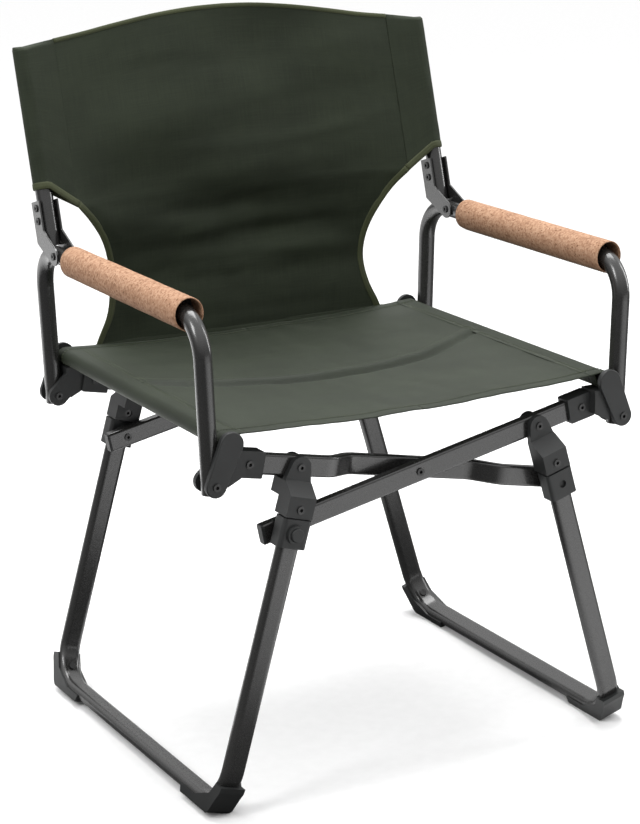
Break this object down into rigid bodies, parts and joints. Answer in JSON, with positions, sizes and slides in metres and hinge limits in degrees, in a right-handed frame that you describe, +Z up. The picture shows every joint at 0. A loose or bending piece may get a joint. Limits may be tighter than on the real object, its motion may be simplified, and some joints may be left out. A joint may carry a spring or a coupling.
{
  "type": "folding camp chair",
  "caption": "Folding camp chair with crossed front and rear bars, cork armrests and a sling seat and back.",
  "frame": {"origin": "on the floor, under the middle of the opened chair's bounding box", "axes": "+Z up, front of the chair at -Y, +X to the right of somebody who looks at its front"},
  "size_m": [0.566, 0.4998, 0.824],
  "materials": {
    "frame_paint": "satin powder coat",
    "moulded_plastic": "matte moulded",
    "rivet_steel": "satin black coated rivet",
    "spring_steel": "bright",
    "seat_cloth": "woven, slight sheen",
    "back_cloth": "woven",
    "cork": "natural granulated cork",
    "foam": "matte foam"
  },
  "bodies": {
    "centre": {"centre_rivets": "rivet_steel", "centre_spacers": "moulded_plastic"},
    "right_scissor": {"right_front_hub": "moulded_plastic", "right_rear_hub": "moulded_plastic", "right_seat_rail": "frame_paint", "right_front_crossbar": "frame_paint", "right_rear_crossbar": "frame_paint", "right_crossbar_caps": "moulded_plastic", "right_collar_rivets": "rivet_steel", "right_hub_rivets": "rivet_steel", "seat_fabric": "seat_cloth"},
    "right_leg": {"right_leg_tube": "frame_paint", "right_front_foot": "moulded_plastic", "right_rear_foot": "moulded_plastic", "right_front_leg_bracket": "moulded_plastic", "right_rear_leg_bracket": "moulded_plastic", "right_leg_rivets": "rivet_steel", "right_leg_pivots": "rivet_steel"},
    "right_arm": {"right_arm_tube": "frame_paint", "right_armrest_cork": "cork", "right_armrest_foam": "foam", "right_arm_pivots": "rivet_steel"},
    "right_back": {"right_back_post": "frame_paint", "right_back_post_plugs": "moulded_plastic", "right_back_bracket": "frame_paint", "right_back_bracket_rivets": "rivet_steel", "right_back_pivot": "rivet_steel"},
    "right_front_collar": {"right_front_collar": "moulded_plastic"},
    "right_rear_collar": {"right_rear_collar": "moulded_plastic"},
    "left_scissor": {"left_front_hub": "moulded_plastic", "left_rear_hub": "moulded_plastic", "left_seat_rail": "frame_paint", "left_front_crossbar": "frame_paint", "left_rear_crossbar": "frame_paint", "left_crossbar_caps": "moulded_plastic", "left_collar_rivets": "rivet_steel", "left_hub_rivets": "rivet_steel"},
    "left_leg": {"left_leg_tube": "frame_paint", "left_front_foot": "moulded_plastic", "left_rear_foot": "moulded_plastic", "left_front_leg_bracket": "moulded_plastic", "left_rear_leg_bracket": "moulded_plastic", "left_leg_rivets": "rivet_steel", "left_leg_pivots": "rivet_steel"},
    "left_arm": {"left_arm_tube": "frame_paint", "left_armrest_cork": "cork", "left_armrest_foam": "foam", "left_arm_pivots": "rivet_steel"},
    "left_back": {"left_back_post": "frame_paint", "left_back_post_plugs": "moulded_plastic", "left_back_bracket": "frame_paint", "left_back_bracket_rivets": "rivet_steel", "left_back_pivot": "rivet_steel", "back_fabric": "back_cloth"},
    "left_front_collar": {"left_front_collar": "moulded_plastic", "lock_spring": "spring_steel"},
    "left_rear_collar": {"left_rear_collar": "moulded_plastic"},
    "lower_back": {"back_fabric_lower": "back_cloth"},
    "lock_button": {"lock_button": "moulded_plastic"}
  },
  "joints": [
    {"name": "fold", "type": "hinge", "parent": "centre", "child": "right_scissor", "pos_m": [0, -0.0096, 0.35], "axis": [0, -1, 0], "range_deg": [0, 66.5], "deforming": ["seat_fabric", "back_fabric", "back_fabric_lower"]},
    {"name": "left_scissor_fold", "type": "hinge", "parent": "centre", "child": "left_scissor", "pos_m": [0, -0.0096, 0.35], "axis": [0, 1, 0], "range_deg": [0, 66.5]},
    {"name": "right_leg_swing", "type": "hinge", "parent": "right_scissor", "child": "right_leg", "pos_m": [0.15287, -0.0096, 0.3811], "axis": [0, 1, 0], "range_deg": [0, 81.92]},
    {"name": "right_arm_level", "type": "hinge", "parent": "right_scissor", "child": "right_arm", "pos_m": [0.26, -0.0096, 0.38], "axis": [0, 1, 0], "range_deg": [0, 66.5]},
    {"name": "right_front_collar_slide", "type": "slide", "parent": "right_leg", "child": "right_front_collar", "axis": [0.2778, 0, -0.9607], "range_m": [0, 0.25549]},
    {"name": "right_rear_collar_slide", "type": "slide", "parent": "right_leg", "child": "right_rear_collar", "axis": [0.2778, 0, -0.9607], "range_m": [0, 0.25549]},
    {"name": "left_leg_swing", "type": "hinge", "parent": "left_scissor", "child": "left_leg", "pos_m": [-0.15287, -0.0096, 0.3811], "axis": [0, -1, 0], "range_deg": [0, 81.92]},
    {"name": "left_arm_level", "type": "hinge", "parent": "left_scissor", "child": "left_arm", "pos_m": [-0.26, -0.0096, 0.38], "axis": [0, -1, 0], "range_deg": [0, 66.5]},
    {"name": "left_front_collar_slide", "type": "slide", "parent": "left_leg", "child": "left_front_collar", "axis": [-0.2778, 0, -0.9607], "range_m": [0, 0.25549]},
    {"name": "left_rear_collar_slide", "type": "slide", "parent": "left_leg", "child": "left_rear_collar", "axis": [-0.2778, 0, -0.9607], "range_m": [0, 0.25549]},
    {"name": "back_fold", "type": "hinge", "parent": "left_arm", "child": "left_back", "pos_m": [-0.266, 0.1384, 0.56], "axis": [1, 0, 0], "range_deg": [0, 104], "deforming": ["back_fabric_lower"]},
    {"name": "right_back_fold", "type": "hinge", "parent": "right_arm", "child": "right_back", "pos_m": [0.266, 0.1384, 0.56], "axis": [1, 0, 0], "range_deg": [0, 104]},
    {"name": "lower_back_swing", "type": "hinge", "parent": "left_arm", "child": "lower_back", "pos_m": [0, 0.2044, 0.438], "axis": [1, 0, 0], "range_deg": [0, 30.41]},
    {"name": "lock_button_press", "type": "slide", "parent": "left_front_collar", "child": "lock_button", "axis": [0, 1, 0], "range_m": [0, 0.002], "stiffness_N_per_m": 600, "springref_m": -0.001}
  ],
  "couplings": [
    {"joint": "left_scissor_fold", "follows": "fold", "ratio": 1},
    {"joint": "right_leg_swing", "follows": "fold", "ratio": 1.2317},
    {"joint": "right_arm_level", "follows": "fold", "ratio": 1},
    {"joint": "right_front_collar_slide", "follows": "fold", "m_per_rad": 0.22012},
    {"joint": "right_rear_collar_slide", "follows": "fold", "m_per_rad": 0.22012},
    {"joint": "left_leg_swing", "follows": "fold", "ratio": 1.2317},
    {"joint": "left_arm_level", "follows": "fold", "ratio": 1},
    {"joint": "left_front_collar_slide", "follows": "fold", "m_per_rad": 0.22012},
    {"joint": "left_rear_collar_slide", "follows": "fold", "m_per_rad": 0.22012},
    {"joint": "right_back_fold", "follows": "back_fold", "ratio": 1},
    {"joint": "lower_back_swing", "follows": "back_fold", "ratio": 0.29231}
  ]
}
